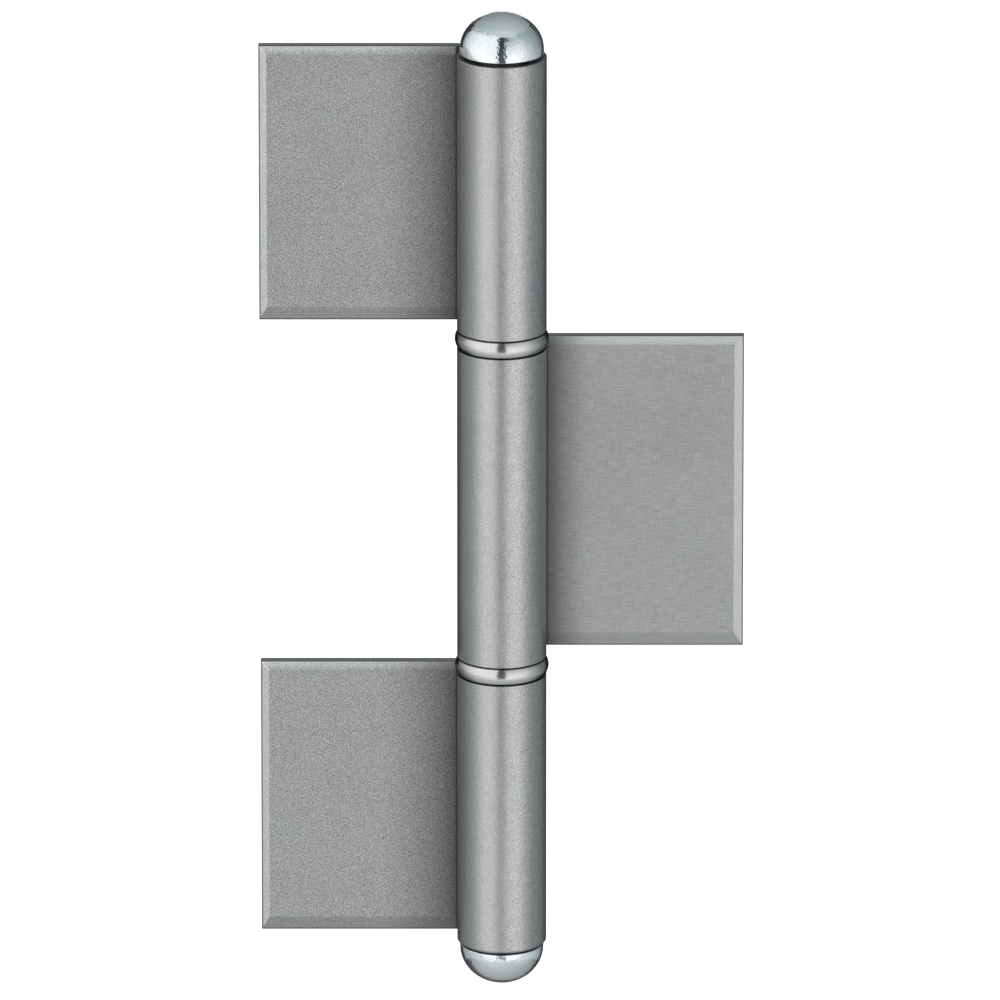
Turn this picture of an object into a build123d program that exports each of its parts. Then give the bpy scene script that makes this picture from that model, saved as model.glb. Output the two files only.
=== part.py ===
from build123d import *
from math import asin, atan2, cos, degrees, radians
import os

# Weld-on hinge with three leaves rolled round one pin. Sizes are in millimetres.
# The pin's axis is Z and the origin lies on it, halfway up the hinge. The two frame leaves
# reach towards -X and the door leaf towards +X. The faces that are welded look along +Y.

# Sheet and pin, which give the barrel its size
pin_diameter = 12.0
sheet_thickness = 4.0
leaf_reach = 54.0
frame_knuckle_length = 63.5
door_knuckle_length = 72.5

# Weld bevels on the front of each leaf: widths on the face, and one depth into the sheet
top_bevel = 1.6
bottom_bevel = 3.4
frame_side_bevel = 1.7
door_side_bevel = 2.1
bevel_depth = 1.3

# Broken edges at the ends of the knuckles
edge_break = 0.15
lower_end_break = 0.5

# Bearing rings: a crown that stands out of the barrel, from corners that lie inside it
ring_height = 3.8
ring_crown = 0.5
ring_corner_inset = 0.2

# Domed ends of the pin and of the cap
dome_inset = 0.6
dome_band = 0.8
dome_rise = 8.5
dome_side_radius = 8.0
dome_base_break = 0.2
head_stand_off = 0.7
cap_stand_off = 0.4
lead_in = 1.0
cap_spigot_length = 9.0

# Clearances
running_clearance = 0.05
axial_play = 0.05
seam_gap = 0.3
pin_end_gap = 0.8

# Radii and faces that follow
pin_radius = pin_diameter / 2
barrel_radius = pin_radius + sheet_thickness
running_bore = pin_radius + running_clearance
front_y = pin_radius
rear_y = barrel_radius
dome_radius = barrel_radius - dome_inset

# Heights that follow, from the bottom of the barrel upwards
ring_space = ring_height + 2 * axial_play
barrel_length = 2 * frame_knuckle_length + door_knuckle_length + 2 * ring_space
dome_height = dome_band + dome_rise
hinge_height = barrel_length + head_stand_off + cap_stand_off + 2 * dome_height
barrel_bottom = cap_stand_off + dome_height - hinge_height / 2
lower_ring_bottom = barrel_bottom + frame_knuckle_length + axial_play
door_knuckle_bottom = barrel_bottom + frame_knuckle_length + ring_space
upper_ring_bottom = door_knuckle_bottom + door_knuckle_length + axial_play
upper_knuckle_bottom = door_knuckle_bottom + door_knuckle_length + ring_space
barrel_top = barrel_bottom + barrel_length

# The strip is rolled from behind the pin, clockwise as seen from above, until its outer
# corner stands one seam gap in front of the leaf. Angles are in degrees from +X.
full_turn = 360
quarter_turn = 90
roll_start = quarter_turn
seam_angle = 180 - degrees(asin((front_y - seam_gap) / barrel_radius)) - full_turn
seam_x = barrel_radius * cos(radians(seam_angle))


# A face bounded by the given edges, stood up in the XZ plane and turned round the pin's axis
def turned(edges):
    return revolve(Plane.XZ * make_face(edges), Axis.Z)


# The rolled end of the strip, seen along the pin: straight to behind the pin, once round it
# and back to the seam. A bore wider than the roll is reamed a little into the leaf's front face.
def roll_section(bore_radius):
    bore_start = 180 - degrees(asin(front_y / bore_radius))
    rear = Line((seam_x, rear_y), (0, rear_y))
    outside = CenterArc((0, 0), barrel_radius, roll_start, seam_angle - roll_start)
    inside = CenterArc((0, 0), bore_radius, bore_start, seam_angle - bore_start)
    cut_end = Line(outside @ 1, inside @ 1)
    front = Line(inside @ 0, (seam_x, front_y))
    root = Line((seam_x, front_y), (seam_x, rear_y))
    return make_face([rear, outside, cut_end, inside, front, root])


# The flat of the leaf, bevelled on the front along its three free edges for the weld
def bevelled_flat(length, side_bevel):
    width = leaf_reach + seam_x
    middle = Pos(seam_x - width / 2, (front_y + rear_y) / 2, length / 2)
    flat = middle * Box(width, sheet_thickness, length)
    bevels = [(Axis.Z, -1, top_bevel), (Axis.Z, 0, bottom_bevel), (Axis.X, 0, side_bevel)]
    for direction, end, bevel in bevels:
        front = flat.faces().sort_by(Axis.Y)[0]
        edge = front.edges().sort_by(direction)[end]
        flat = chamfer(edge, bevel, bevel_depth, reference=front)
    return flat


# The rear and outer edges of a leaf at one height, which run into each other behind the pin
def outer_edges(leaf, height):
    level = leaf.edges().filter_by_position(Axis.Z, height, height)
    rear = level.filter_by(GeomType.LINE).filter_by_position(Axis.Y, rear_y, rear_y)
    roll = level.filter_by(GeomType.CIRCLE).filter_by(lambda edge: edge.radius > running_bore)
    return rear + roll


# One leaf with its knuckle, from z = 0 up, reaching towards -X
def rolled_leaf(length, bore_radius, side_bevel, bottom_break):
    leaf = extrude(roll_section(bore_radius), length) + bevelled_flat(length, side_bevel)
    leaf = chamfer(outer_edges(leaf, length), edge_break)
    return chamfer(outer_edges(leaf, 0), bottom_break)


# A crowned ring, from z = 0 up, that runs on the pin
def bearing_ring():
    corner = barrel_radius - ring_corner_inset
    crown = barrel_radius + ring_crown
    sides = Polyline((corner, ring_height), (running_bore, ring_height), (running_bore, 0), (corner, 0))
    rim = ThreePointArc((corner, 0), (crown, ring_height / 2), (corner, ring_height))
    return turned([sides, rim])


# A dome's outline from its foot to the axis, as two arcs that run into each other: a tight
# one at the side, and a wide one over the top, which is centred on the axis
def dome_outline(foot):
    reach = dome_radius - dome_side_radius
    drop = dome_rise - dome_side_radius
    crown_radius = (reach**2 + dome_rise**2 - dome_side_radius**2) / (2 * drop)
    meeting = degrees(atan2(crown_radius - dome_rise, reach))
    side = CenterArc((reach, foot), dome_side_radius, 0, meeting)
    crown_centre = (0, foot + dome_rise - crown_radius)
    crown = CenterArc(crown_centre, crown_radius, meeting, quarter_turn - meeting)
    return [side, crown]


# A shank below z = 0 with a domed head that stands a little off the knuckle's end
def domed_plug(shank_length, stand_off):
    band_top = stand_off + dome_band
    shank_and_band = Polyline(
        (0, band_top + dome_rise),
        (0, -shank_length),
        (pin_radius - lead_in, -shank_length),
        (pin_radius, lead_in - shank_length),
        (pin_radius, stand_off),
        (dome_radius - dome_base_break, stand_off),
        (dome_radius, stand_off + dome_base_break),
        (dome_radius, band_top),
    )
    return turned([shank_and_band, *dome_outline(band_top)])


frame_leaf_up = rolled_leaf(frame_knuckle_length, pin_radius, frame_side_bevel, edge_break)
frame_leaf_low = rolled_leaf(frame_knuckle_length, pin_radius, frame_side_bevel, lower_end_break)
door_leaf = rolled_leaf(door_knuckle_length, running_bore, door_side_bevel, edge_break)
pin_length = barrel_length - cap_spigot_length - pin_end_gap

nodes = {
    "upper_leaf": Pos(0, 0, upper_knuckle_bottom) * frame_leaf_up,
    "middle_leaf": Pos(0, 0, door_knuckle_bottom) * mirror(door_leaf, Plane.YZ),
    "lower_leaf": Pos(0, 0, barrel_bottom) * frame_leaf_low,
    "upper_bearing_ring": Pos(0, 0, upper_ring_bottom) * bearing_ring(),
    "lower_bearing_ring": Pos(0, 0, lower_ring_bottom) * bearing_ring(),
    "hinge_pin": Pos(0, 0, barrel_top) * domed_plug(pin_length, head_stand_off),
    "bottom_cap": Pos(0, 0, barrel_bottom) * Rot(X=180) * domed_plug(cap_spigot_length, cap_stand_off),
}

os.makedirs("parts", exist_ok=True)
for name, solid in nodes.items():
    export_step(solid, f"parts/{name}.step")
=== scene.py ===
import math
import bpy
import numpy as np
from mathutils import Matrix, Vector


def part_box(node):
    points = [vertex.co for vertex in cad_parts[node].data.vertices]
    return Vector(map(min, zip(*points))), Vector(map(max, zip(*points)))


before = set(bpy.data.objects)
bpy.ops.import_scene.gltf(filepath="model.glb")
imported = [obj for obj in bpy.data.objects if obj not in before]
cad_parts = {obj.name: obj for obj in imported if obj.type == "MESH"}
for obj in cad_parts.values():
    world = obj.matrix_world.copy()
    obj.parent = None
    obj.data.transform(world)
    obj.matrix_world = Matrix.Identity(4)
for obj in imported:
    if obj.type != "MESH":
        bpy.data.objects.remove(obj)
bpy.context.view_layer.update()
print("frame loaded:", len(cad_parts), "nodes")

mm = 0.001
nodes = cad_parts
white = (1, 1, 1)


# Shader numbers. An operator on a Wire adds its Math node, so that masks read as formulas.
class Wire:
    def __init__(self, finish, socket):
        self.finish = finish
        self.socket = socket

    def math(self, operation, first, second=0):
        node = self.finish.node("Math", {"operation": operation}, {0: first, 1: second})
        return self.finish.wire(node, 0)

    def __add__(self, other):
        return self.math("ADD", self, other)

    def __radd__(self, other):
        return self.math("ADD", other, self)

    def __sub__(self, other):
        return self.math("SUBTRACT", self, other)

    def __rsub__(self, other):
        return self.math("SUBTRACT", other, self)

    def __mul__(self, other):
        return self.math("MULTIPLY", self, other)

    def __rmul__(self, other):
        return self.math("MULTIPLY", other, self)

    def __truediv__(self, other):
        return self.math("DIVIDE", self, other)

    def __pow__(self, other):
        return self.math("POWER", self, other)

    def __abs__(self):
        return self.math("ABSOLUTE", self)

    def highest(self, other):
        return self.math("MAXIMUM", self, other)

    def lowest(self, other):
        return self.math("MINIMUM", self, other)

    # 0 at low, 1 at high, and a smooth step between them. low may be the larger one.
    def step(self, low, high):
        node = self.finish.node("MapRange", {"interpolation_type": "SMOOTHSTEP"},
                                {"Value": self, "From Min": low, "From Max": high})
        return self.finish.wire(node, "Result")


# The nodes of one material, or of the world
class Finish:
    def __init__(self, owner):
        self.owner = owner
        owner.use_nodes = True
        self.tree = owner.node_tree
        self.tree.nodes.clear()

    def wire(self, node, output):
        return Wire(self, node.outputs[output])

    # A node by its type: settings first, then a value or a link for each socket
    def node(self, kind, settings=None, inputs=None):
        made = self.tree.nodes.new("ShaderNode" + kind)
        for key, value in (settings or {}).items():
            setattr(made, key, value)
        for key, value in (inputs or {}).items():
            socket = made.inputs[key]
            if isinstance(value, Wire):
                self.tree.links.new(value.socket, socket)
            else:
                socket.default_value = value
        return made

    # Object coordinates in millimetres, stretched by three factors
    def place(self, stretch=(1, 1, 1)):
        coordinates = self.wire(self.node("TexCoord"), "Object")
        scaled = self.node("VectorMath", {"operation": "MULTIPLY"},
                           {0: coordinates, 1: [s / mm for s in stretch]})
        return self.wire(scaled, "Vector")

    # X, Y and Z of a vector, as three wires
    def axes(self, vector):
        split = self.node("SeparateXYZ", inputs={"Vector": vector})
        return [self.wire(split, axis) for axis in "XYZ"]

    # Noise about 0, from -1 to 1, with features about `size` millimetres wide
    def noise(self, size, stretch=(1, 1, 1), detail=2.0):
        made = self.node("TexNoise", inputs={"Vector": self.place(stretch), "Scale": 1 / size,
                                             "Detail": detail})
        return (self.wire(made, 0) - 0.5) * 2

    # The colour between two colours at a factor
    def blend(self, factor, first, second):
        first, second = (c if isinstance(c, Wire) else (*c, 1) for c in (first, second))
        made = self.node("Mix", {"data_type": "RGBA"}, {0: factor, 6: first, 7: second})
        return self.wire(made, 2)

    # A colour multiplied by a number
    def shade(self, colour, level):
        made = self.node("VectorMath", {"operation": "SCALE"}, {0: colour, "Scale": level})
        return self.wire(made, "Vector")

    def finishWith(self, shader, output="OutputMaterial"):
        self.node(output, inputs={"Surface": self.wire(shader, 0)})
        return self.owner


def newFinish(name):
    return Finish(bpy.data.materials.new(name))


# The camera stands far off with a long lens, a little above the hinge
camera = {
    "distance": 4.0,
    "elevation": 18.0,
    "pixelsPerMetre": 4484,
    "frameWidth": 1000,
    "sensor": 36,
    "clipEnd": 100,
    "aim": (-0.0004, 0.0, 0.0001),
}


def makeCamera(size):
    rise = math.radians(size["elevation"])
    back = Vector((0, -math.cos(rise), math.sin(rise)))
    seenWidth = size["frameWidth"] / size["pixelsPerMetre"]
    made = bpy.data.objects.new("camera", bpy.data.cameras.new("camera"))
    made.data.sensor_width = size["sensor"]
    made.data.lens = size["sensor"] * size["distance"] / seenWidth
    made.data.clip_end = size["clipEnd"]
    made.location = Vector(size["aim"]) + back * size["distance"]
    made.rotation_euler = (-back).to_track_quat("-Z", "Y").to_euler()
    bpy.context.scene.collection.objects.link(made)
    bpy.context.scene.camera = made


makeCamera(camera)
print("camera set")


# A direction from the hinge: out along an azimuth, up by an elevation, both in degrees.
# Azimuth 0 is the camera's side and 90 is +X. It works on whole arrays.
def direction(azimuth, elevation):
    turn, rise = np.radians(azimuth), np.radians(elevation)
    out = np.cos(rise)
    return np.stack([np.sin(turn) * out, -np.cos(turn) * out, np.sin(rise)], -1)


# Two lamps light the floor and give it the hinge's shadow. Bare metal would only mirror their
# outlines, so it takes its light from the tent alone.
lamps = {
    "leftBox": {"azimuth": -42, "elevation": 40, "distance": 1.4, "width": 0.6, "height": 0.6,
                "radiance": 0.9},
    "rightBox": {"azimuth": 42, "elevation": 40, "distance": 1.4, "width": 0.6, "height": 0.6,
                 "radiance": 0.8},
}


def makeLamp(name, size):
    light = bpy.data.lights.new(name, "AREA")
    light.shape = "RECTANGLE"
    light.size, light.size_y = size["width"], size["height"]
    light.energy = size["radiance"] * math.pi * size["width"] * size["height"]
    lamp = bpy.data.objects.new(name, light)
    out = Vector(direction(size["azimuth"], size["elevation"]))
    lamp.location = out * size["distance"]
    lamp.rotation_euler = (-out).to_track_quat("-Z", "Y").to_euler()
    lamp.visible_camera = False
    lamp.visible_glossy = False
    bpy.context.scene.collection.objects.link(lamp)


for lampName, lampSize in lamps.items():
    makeLamp(lampName, lampSize)

# A light tent round the hinge. Its cloth glows less towards the back, and panels lie on it.
# Where the glow is low the cloth takes the shade's colour.
tent = {
    "radius": 1.6,
    "lowest": -34,
    "highest": 90,
    "cell": 1,
    "cloth": 0.82,
    "clothFade": 0.5,
    "shadeGlow": (0.6, 1.3),
    "shadeColour": (0.87, 0.98, 1.0),
}
# Each panel has the softness in degrees of its sides, foot and head, and stops with an azimuth,
# the panel's lowest and highest elevation there, and the glow at both.
panels = {
    "leftRearSlot": {"soft": (5, 4, 5), "stops": [
        (-166, -60, 20, 0.06, 0.06), (-132, -60, 27, 0.05, 0.05)]},
    "rightRearSlot": {"soft": (5, 4, 5), "stops": [
        (134, -60, 27, 0.12, 0.12), (166, -60, 20, 0.06, 0.06)]},
    "leftRear": {"soft": (4, 8, 8), "stops": [
        (-200, -32, 14, 1.3, 1.2), (-167, -32, 14, 1.3, 1.2)]},
    "rightRear": {"soft": (4, 8, 8), "stops": [
        (167, -32, 14, 1.3, 1.2), (200, -32, 14, 1.3, 1.2)]},
    "leftWall": {"soft": (2, 7, 10), "stops": [
        (-136, 0, 22, 0.35, 0.45), (-127, 0, 32, 0.75, 0.85), (-105, -3, 44, 1.15, 1.2),
        (-90, -6, 50, 1.4, 1.4), (-68, -13, 56, 1.5, 1.5), (-55, -20, 58, 1.55, 1.5),
        (-40, -28, 61, 1.5, 1.5), (-10, -31, 62, 1.45, 1.4)]},
    "rightWall": {"soft": (2, 8, 8), "stops": [
        (10, -33, 52, 1.6, 0.55), (35, -30, 54, 1.65, 0.6), (50, -23, 56, 1.5, 0.65),
        (65, -14, 56, 1.2, 0.65), (81, -9, 56, 0.9, 0.55), (104, -5, 48, 0.6, 0.5),
        (138, 0, 30, 0.25, 0.35)]},
    "bar": {"soft": (2, 2, 2), "stops": [
        (-12, 50, 61, 0.08, 0.08), (14, 50, 61, 0.1, 0.1), (34, 50, 61, 0.6, 0.6)]},
    "gap": {"soft": (1, 8, 2), "stops": [
        (-11.5, -26, 52, 0.16, 0.04), (10, -26, 52, 0.16, 0.04)]},
}


# A mesh from a grid of points, with one face for each cell
def gridMesh(name, points):
    rows, columns = points.shape[:2]
    cell = np.arange(rows * columns).reshape(rows, columns)
    faces = np.stack([cell[:-1, :-1], cell[1:, :-1], cell[1:, 1:], cell[:-1, 1:]], -1)
    mesh = bpy.data.meshes.new(name)
    mesh.from_pydata(points.reshape(-1, 3), [], faces.reshape(-1, 4).tolist())
    mesh.update()
    made = bpy.data.objects.new(name, mesh)
    bpy.context.scene.collection.objects.link(made)
    return made


# 0 outside a band and 1 inside it, with a smooth step of the given width at each side
def softBand(value, low, high, softLow, softHigh):
    rise = np.clip((value - low) / softLow + 0.5, 0, 1)
    fall = np.clip((high - value) / softHigh + 0.5, 0, 1)
    return np.prod([s * s * (3 - 2 * s) for s in (rise, fall)], axis=0)


# The tent is part of a sphere: its azimuth follows the first parameter and its elevation the
# second. The cloth's glow falls with the share of the way to the back. A panel's glow goes
# with the square of the way from its foot to its head, and its soft band blends it in.
def makeTent(size, panels):
    azimuth = np.arange(-180, 181, size["cell"])[:, None]
    elevation = np.arange(size["lowest"], size["highest"] + 1, size["cell"])[None, :]
    way = direction(azimuth + 0 * elevation, elevation + 0 * azimuth)
    glow = size["cloth"] - size["clothFade"] * way[..., 1]
    for panel in panels.values():
        places, *values = np.array(panel["stops"], float).T
        low, high, lowGlow, highGlow = (np.interp(azimuth, places, v) for v in values)
        side, foot, head = panel["soft"]
        band = softBand(azimuth, places[0], places[-1], side, side)
        band = band * softBand(elevation, low, high, foot, head)
        share = np.clip((elevation - low) / (high - low), 0, 1) ** 2
        glow = glow + (lowGlow + (highGlow - lowGlow) * share - glow) * band
    made = gridMesh("tent", size["radius"] * way)
    made.data.attributes.new("glow", "FLOAT", "POINT").data.foreach_set("value", glow.ravel())
    cloth = newFinish("tentCloth")
    strength = cloth.wire(cloth.node("Attribute", {"attribute_name": "glow"}), "Fac")
    light = cloth.node("Emission", inputs={
        "Color": cloth.blend(strength.step(*size["shadeGlow"]), size["shadeColour"], white),
        "Strength": strength,
    })
    made.data.materials.append(cloth.finishWith(light))
    cloth.owner.cycles.emission_sampling = "NONE"
    made.visible_camera = False


makeTent(tent, panels)

# A pale floor below the hinge, and a white surround. Towards the camera the floor is filled up
# to white. Mirrored in metal it is brighter in front and falls off behind, and past a line that
# slants across the rear it is dim.
floor = {
    "height": -0.9,
    "reach": 8.0,
    "colour": (0.4, 0.4, 0.4),
    "fill": (0.68, 1.0),
    "fillReach": (1.0, 1.8),
    "mirrored": 0.26,
    "mirroredFade": 0.26,
    "mirroredColour": (0.89, 0.99, 1.0),
    "dimSlant": 0.18,
    "dimReach": (0.36, 0.6),
    "dimMirrored": 0.78,
    "dimPaint": 0.62,
}
surround = {"seen": 1.0, "light": 0.65}


# A level square of one face: x and y from -reach to reach
def makeFloor(size):
    along = np.linspace(-size["reach"], size["reach"], 2)
    x, y = np.meshgrid(along, along, indexing="ij")
    made = gridMesh("floor", np.stack([x, y, np.full_like(x, size["height"])], -1))
    paint = newFinish("palePaint")
    rays = paint.node("LightPath")
    seen = paint.wire(rays, "Is Camera Ray").highest(paint.wire(rays, "Is Transmission Ray"))
    x, y = (axis * mm for axis in paint.axes(paint.place())[:2])
    near, far = size["fill"]
    away = ((x * x + y * y) ** 0.5).step(*size["fillReach"])
    behind = (y / -size["height"]).lowest(1.0).highest(-1.0)
    dim = (y - x * size["dimSlant"]).step(*size["dimReach"])
    mirrored = size["mirrored"] - size["mirroredFade"] * behind
    mirrored = mirrored * (1 - size["dimMirrored"] * dim)
    fill = seen * (near + (far - near) * away) + paint.wire(rays, "Is Glossy Ray") * mirrored
    matt = paint.node("BsdfDiffuse", inputs={
        "Color": paint.shade(size["colour"], 1 - size["dimPaint"] * dim * (1 - seen))})
    glow = paint.node("Emission", inputs={
        "Color": paint.blend(seen, size["mirroredColour"], white), "Strength": fill})
    both = paint.node("AddShader", inputs={0: paint.wire(matt, 0), 1: paint.wire(glow, 0)})
    made.data.materials.append(paint.finishWith(both))


# White where the camera, metal or glass sees it, and a softer light on everything else
def makeSurround(size):
    sky = Finish(bpy.data.worlds.new("surround"))
    rays = sky.node("LightPath")
    seen = sky.wire(rays, "Is Camera Ray").highest(sky.wire(rays, "Is Glossy Ray"))
    seen = seen.highest(sky.wire(rays, "Is Transmission Ray"))
    background = sky.node("Background", inputs={
        "Color": (*white, 1), "Strength": size["light"] + (size["seen"] - size["light"]) * seen})
    bpy.context.scene.world = sky.finishWith(background, "OutputWorld")


makeFloor(floor)
makeSurround(surround)
print("light and floor set")


# Bare steel of the leaves. The frame leaves have a coarse speckled skin, and the door leaf a
# fine cross-brushed one. Lengths are in millimetres.
# Each skin paints highlights on its top and side bevels and shade on its bottom bevel, as shares
# of the colour, and paints shade by the barrel out to a reach in millimetres.
leafSteel = {
    "frame": {"colour": (0.353, 0.356, 0.351), "speckle": 1.7, "brush": 0.06, "cloud": 0.05,
              "glint": 0.25, "top": 1.72, "side": 1.36, "bottom": 0.93, "knuckle": 1.13,
              "fade": 0.6, "rootReach": 19.0, "edgeRadius": 0.5},
    "door": {"colour": (0.411, 0.414, 0.409), "speckle": 0.38, "brush": 0.22, "cloud": 0.08,
             "glint": 0.0, "top": 1.6, "side": 1.22, "bottom": 0.93, "knuckle": 0.97,
             "fade": 0.3, "rootReach": 11.0, "edgeRadius": 0.2},
    "knuckle": {"speckle": (0.5, 0.9), "speckleTurn": (-1.0, 2.0), "streak": 0.12,
                "roughness": 0.36},
    "violet": (1.01, 0.985, 1.03),
    "green": (0.985, 1.01, 1.0),
    "ground": (1.02, 0.998, 0.987),
    "grazing": (0.8, 0.8, 0.8),
    "roughness": 0.4,
    "grainRoughness": 0.03,
    "cutRoughness": 0.15,
    "bump": (0.5, 0.012),  # strength, and depth
    "barrelRadius": 10.0,
    "sheetMiddle": 8.65,
    "rootStart": -0.2,  # as a share of its reach
}
# The share of the colour that each mask leaves where it is 1. Apart from cut and burr, each is
# painted shade: by the barrel, in the crease, at the junction, at the rims, on the flanks and in
# the gaps at the rings.
leafLevels = {"root": 0.36, "crease": 0.6, "seam": 0.3, "rim": 0.3, "cut": 0.42, "burr": 0.3,
              "flank": 0.64, "grease": 0.1}
# Where each mask begins and ends, in millimetres, or as a share of the normal for the slopes
leafMasks = {
    "flat": (0.08, 0.2),  # out of the barrel
    "front": (8.0, 7.0),  # behind the pin's axis
    "slopeUp": (0.3, 0.5),
    "slopeDown": (-0.2, -0.3),
    "slopeSide": (0.3, 0.5),
    "square": (0.85, 0.95),
    "topFade": (0.3, 1.6),  # below the leaf's top
    "bottomFade": (1.6, 3.4),  # above its bottom
    "burr": (0.5, 0.9),  # from the middle of the sheet
    "flank": (3.4, 7.4),  # from the pin's axis, sideways
    "crease": (-0.1, 0.9),  # from the barrel, sideways
    "seam": (0.1, 0.3),
    "sideRim": (0.05, 0.14),  # from the free edge, squared
    "lowRim": (0.2, 0.42),  # above the leaf's bottom
    "glint": (0.32, 0.5),  # of the noise
    "edge": (0.01, 0.2),  # of the turn between face and edge
    "grease": (0.16, 0.3),  # from the knuckle's end
    "violet": (0.1, 0.6),  # of the noise
    "green": (-0.1, -0.6),
}
# Sizes of the grain, and how its parts are mixed. The front face lies 6 mm behind the pin's axis,
# and noise goes flat on its own whole steps. So 6 divided by the size of the speckle, fleck or
# glint isn't a whole number.
leafGrain = {
    "speckle": 0.14, "fleck": 0.46, "glint": 0.31, "brush": 0.3, "cloud": 13.0, "tint": 9.0,
    "brushStretch": 0.1,
    "cloudStretch": 0.4,
    "brushMix": (1.2, 0.7),  # across, and upright
    "fleckMix": (0.1, 0.12),  # on the flat, and on the knuckle
    "bevelCalm": 0.55,
    "worn": (0.2, 2.5),  # everywhere on an edge, and where it glints
}
# The knuckle ends that meet a ring, as 0 for the lower and 1 for the upper
ringEnds = {"upper_leaf": [0], "middle_leaf": [0, 1], "lower_leaf": [1]}


# The normal with edges rounded by a radius in millimetres
def softNormal(finish, radius):
    return finish.wire(finish.node("Bevel", {"samples": 6}, {"Radius": radius * mm}), "Normal")


# Where the rounded normal parts from the face's own, a worn edge shows: 0 on a face, 1 on it
def wornEdge(finish, rounded, turn):
    true = finish.wire(finish.node("NewGeometry"), "Normal")
    match = finish.node("VectorMath", {"operation": "DOT_PRODUCT"}, {0: rounded, 1: true})
    return (1 - finish.wire(match, "Value")).step(*turn)


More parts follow.
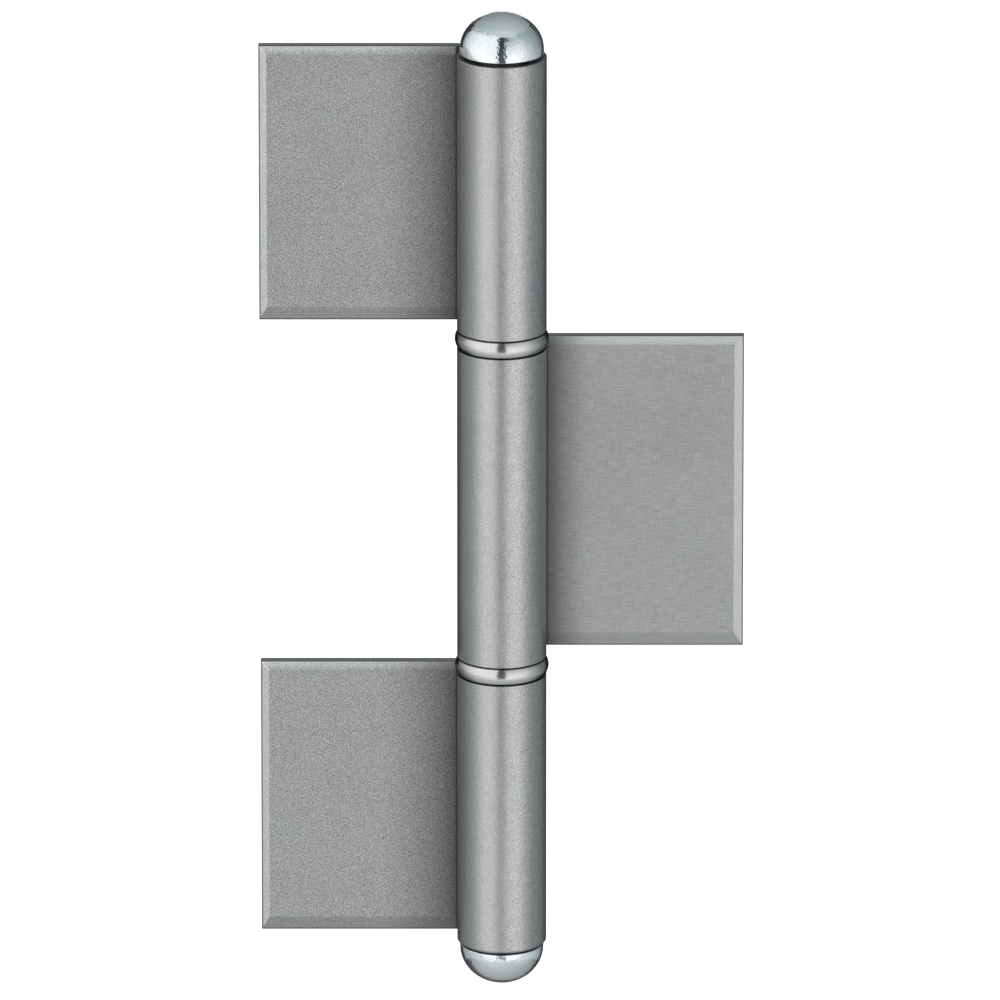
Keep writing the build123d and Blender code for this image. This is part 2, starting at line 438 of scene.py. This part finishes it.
def makeLeafSteel(node, kind, size, levels, masks, grain):
    steel = newFinish(node + "_steel")
    skin, roll = size[kind], size["knuckle"]
    low, high = (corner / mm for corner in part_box(node))
    x, y, z = steel.axes(steel.place())
    across, up = steel.axes(steel.wire(steel.node("TexCoord"), "Normal"))[::2]

    # masks: flat or knuckle, the ground bevels, the cut faces, and the way to the knuckle
    flat = ((x * x + y * y) ** 0.5 - size["barrelRadius"]).step(*masks["flat"])
    knuckle = 1 - flat
    # the painted highlight and shade of the top and bottom bevels fade into the face
    topFade = 1 - skin["fade"] * (high.z - z).step(*masks["topFade"])
    bottomFade = 1 - skin["fade"] * (z - low.z).step(*masks["bottomFade"])
    topBevel = up.step(*masks["slopeUp"]) * flat * topFade
    bottomBevel = up.step(*masks["slopeDown"]) * flat * bottomFade
    sideBevel = abs(across).step(*masks["slopeSide"]) * flat
    bevel = topBevel.highest(bottomBevel).highest(sideBevel)
    cut = abs(up).step(*masks["square"]).highest(abs(across).step(*masks["square"]) * flat)
    burr = abs(y - size["sheetMiddle"]).step(*masks["burr"]) * cut * flat
    # painted shade on the knuckle's flanks, darker to each side
    flank = abs(x).step(*masks["flank"]) * knuckle
    out = abs(x) - size["barrelRadius"]
    front = y.step(*masks["front"])
    # painted shade on the front face, darker towards the barrel that stands before it
    rootStart = size["rootStart"] * skin["rootReach"]
    root = (1 - out.step(rootStart, skin["rootReach"])) * flat * front
    # painted shade in the crease where the face meets the barrel, darkest at the junction
    crease = (1 - out.step(*masks["crease"])) * flat * front
    seam = (1 - out.step(*masks["seam"])) * flat * front
    # painted shade along the free edge and along the bottom
    freeEdge = x - (low.x if kind == "frame" else high.x)
    sideRim = 1 - (freeEdge * freeEdge).step(*masks["sideRim"])
    lowRim = 1 - (z - low.z).step(*masks["lowRim"])
    rim = sideRim.highest(lowRim) * flat * (1 - cut)

    # grain: speckle, cross brushing, slow clouds, and upright streaks on the knuckle; the glints
    # are painted highlights, bright specks on the frame leaves
    speckle = steel.noise(grain["speckle"], detail=0.0)
    fleck = steel.noise(grain["fleck"], detail=1.0)
    brushAcross = steel.noise(grain["brush"], (grain["brushStretch"], 1, 1), 1.0)
    brushUp = steel.noise(grain["brush"], (1, 1, grain["brushStretch"]), 1.0)
    cloud = steel.noise(grain["cloud"], (grain["cloudStretch"], 1, 1), detail=2.0)
    glint = steel.noise(grain["glint"], detail=0.0).step(*masks["glint"])
    mixAcross, mixUp = grain["brushMix"]
    fleckFlat, fleckKnuckle = grain["fleckMix"]
    onFlat = (speckle + fleck * fleckFlat) * skin["speckle"] + glint * skin["glint"]
    onFlat = onFlat + (brushAcross * mixAcross + brushUp * mixUp) * skin["brush"]
    left, right = roll["speckle"]
    pebble = left + (right - left) * x.step(*roll["speckleTurn"])
    onKnuckle = (speckle + fleck * fleckKnuckle) * pebble + brushUp * roll["streak"]
    mottle = onFlat * flat * (1 - grain["bevelCalm"] * bevel) + onKnuckle * knuckle

    level = 1 + mottle + cloud * skin["cloud"]
    # painted highlights on the top and side bevels, painted shade on the bottom bevel, and
    # painted shade from the masks by the barrel, rims, flanks and gaps
    for mask, share in ((topBevel, skin["top"]), (sideBevel, skin["side"]),
                        (knuckle, skin["knuckle"]), (bottomBevel, skin["bottom"]),
                        (root, levels["root"]), (crease, levels["crease"]),
                        (seam, levels["seam"]), (rim, levels["rim"]), (cut, levels["cut"]),
                        (burr, levels["burr"]), (flank, levels["flank"])):
        level = level * (1 + (share - 1) * mask)
    rounded = softNormal(steel, skin["edgeRadius"])
    edge = wornEdge(steel, rounded, masks["edge"])
    # edges are lighter where worn, and the glints along them are painted highlights
    worn, wornGlint = grain["worn"]
    shine = worn + glint * (wornGlint * skin["glint"])
    level = level * (1 + shine * edge * (1 - cut) * flat)

    # painted shade in the gap between the knuckle's end and a ring
    for end in ringEnds[node]:
        clean = abs(z - (low.z, high.z)[end]).step(*masks["grease"]).highest(flat)
        level = level * (levels["grease"] + (1 - levels["grease"]) * clean)

    # the colour, a little violet or green in places, and warmer on the lower bevel, painted to
    # offset the bluish floor it mirrors
    tint = steel.noise(grain["tint"], detail=1.0)
    violet, green, ground = ([c * t for c, t in zip(skin["colour"], size[name])]
                             for name in ("violet", "green", "ground"))
    base = steel.blend(tint.step(*masks["violet"]), skin["colour"], violet)
    base = steel.blend(tint.step(*masks["green"]), base, green)
    base = steel.blend(bottomBevel, base, ground)
    strength, depth = size["bump"]
    bump = steel.node("Bump", inputs={"Strength": strength, "Distance": depth * mm,
                                      "Height": mottle * 2, "Normal": rounded})
    rough = size["roughness"] + (roll["roughness"] - size["roughness"]) * knuckle
    rough = rough + size["grainRoughness"] * speckle + size["grainRoughness"] * cloud
    shader = steel.node("BsdfPrincipled", inputs={
        "Base Color": steel.shade(base, level),
        "Metallic": 1.0,
        "Roughness": rough + size["cutRoughness"] * cut,
        "Specular Tint": (*size["grazing"], 1),
        "Normal": steel.wire(bump, "Normal"),
    })
    return steel.finishWith(shader)


# Turned bearing rings, smoother and brighter than the leaves. Lengths are in millimetres.
ringSteel = {
    "colour": (0.5, 0.495, 0.485),
    "grazing": (0.2, 0.2, 0.2),
    "roughness": 0.22,
    "grainRoughness": 0.04,
    "turning": {"size": 0.25, "stretch": 0.02, "shade": 0.08},
    "speckle": {"size": 0.5, "shade": 0.12},
    "cloud": {"size": 4.0, "shade": 0.06},
    "flank": {"reach": (5.0, 9.5), "shade": 0.35},
    "grease": {"reach": (0.12, 0.28), "level": 0.12},
    "bump": (0.4, 0.004),  # strength, and depth
    "edgeRadius": 0.12,
    "anisotropy": 0.7,
    "anisotropyTurn": 0.25,
}


def makeRingSteel(node, size):
    steel = newFinish(node + "_steel")
    low, high = (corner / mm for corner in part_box(node))
    x, z = steel.axes(steel.place())[::2]
    stretch = size["turning"]["stretch"]
    turning = steel.noise(size["turning"]["size"], (stretch, stretch, 1), 2.0)
    speckle = steel.noise(size["speckle"]["size"], detail=2.0)
    cloud = steel.noise(size["cloud"]["size"], detail=1.0)
    level = 1 + size["turning"]["shade"] * turning + size["speckle"]["shade"] * speckle
    level = level + size["cloud"]["shade"] * cloud
    # painted shade on the ring's flanks
    level = level * (1 - size["flank"]["shade"] * abs(x).step(*size["flank"]["reach"]))
    # painted shade in the gaps at the ring's ends, where the knuckles meet it
    grease = size["grease"]
    for end in (low.z, high.z):
        clean = abs(z - end).step(*grease["reach"])
        level = level * (grease["level"] + (1 - grease["level"]) * clean)
    strength, depth = size["bump"]
    bump = steel.node("Bump", inputs={
        "Strength": strength, "Distance": depth * mm, "Height": turning + speckle,
        "Normal": softNormal(steel, size["edgeRadius"])})
    shader = steel.node("BsdfPrincipled", inputs={
        "Base Color": steel.shade(size["colour"], level),
        "Metallic": 1.0,
        "Roughness": size["roughness"] + size["grainRoughness"] * speckle,
        "Specular Tint": (*size["grazing"], 1),
        "Anisotropic": size["anisotropy"],
        "Anisotropic Rotation": size["anisotropyTurn"],
        "Normal": steel.wire(bump, "Normal"),
    })
    return steel.finishWith(shader)


# Bright zinc plate on the domed ends, a little uneven, with a bluish cast. The depth of the
# dents is in millimetres, and that of the pits a share of it.
zincPlate = {
    "colour": (0.67, 0.68, 0.685),
    "dull": (0.52, 0.585, 0.605),
    "dullCloud": (-0.6, 0.8),
    "roughness": 0.07,
    "cloud": {"size": 5.0, "roughness": 0.05},
    "dents": {"size": 0.75, "shade": 0.05, "depth": 0.03},
    "pits": {"size": 0.25, "shade": 0.35, "depth": 0.06, "roughness": 0.1,
             "shaded": (0.3, 0.6), "roughened": (0.3, 0.8)},
    "edgeRadius": 0.2,
}


def makeZincPlate(node, size):
    zinc = newFinish(node + "_zinc")
    dent, pit = size["dents"], size["pits"]
    dents = zinc.noise(dent["size"], detail=1.0)
    pits = zinc.noise(pit["size"], detail=1.0)
    cloud = zinc.noise(size["cloud"]["size"], detail=2.0)
    base = zinc.blend(cloud.step(*size["dullCloud"]), size["colour"], size["dull"])
    level = 1 - pit["shade"] * pits.step(*pit["shaded"]) + dent["shade"] * dents
    rough = size["roughness"] + size["cloud"]["roughness"] * cloud
    bump = zinc.node("Bump", inputs={
        "Strength": 1.0, "Distance": dent["depth"] * mm, "Height": dents + pit["depth"] * pits,
        "Normal": softNormal(zinc, size["edgeRadius"])})
    shader = zinc.node("BsdfPrincipled", inputs={
        "Base Color": zinc.shade(base, level),
        "Metallic": 1.0,
        "Roughness": rough + pit["roughness"] * pits.step(*pit["roughened"]),
        "Normal": zinc.wire(bump, "Normal"),
    })
    return zinc.finishWith(shader)


def dress(node, material):
    mesh = nodes[node].data
    mesh.materials.clear()
    mesh.materials.append(material)


for leaf, kind in (("upper_leaf", "frame"), ("middle_leaf", "door"), ("lower_leaf", "frame")):
    dress(leaf, makeLeafSteel(leaf, kind, leafSteel, leafLevels, leafMasks, leafGrain))
for ring in ("upper_bearing_ring", "lower_bearing_ring"):
    dress(ring, makeRingSteel(ring, ringSteel))
for plug in ("hinge_pin", "bottom_cap"):
    dress(plug, makeZincPlate(plug, zincPlate))
print("finishes set")

bpy.context.scene.view_settings.view_transform = "Standard"
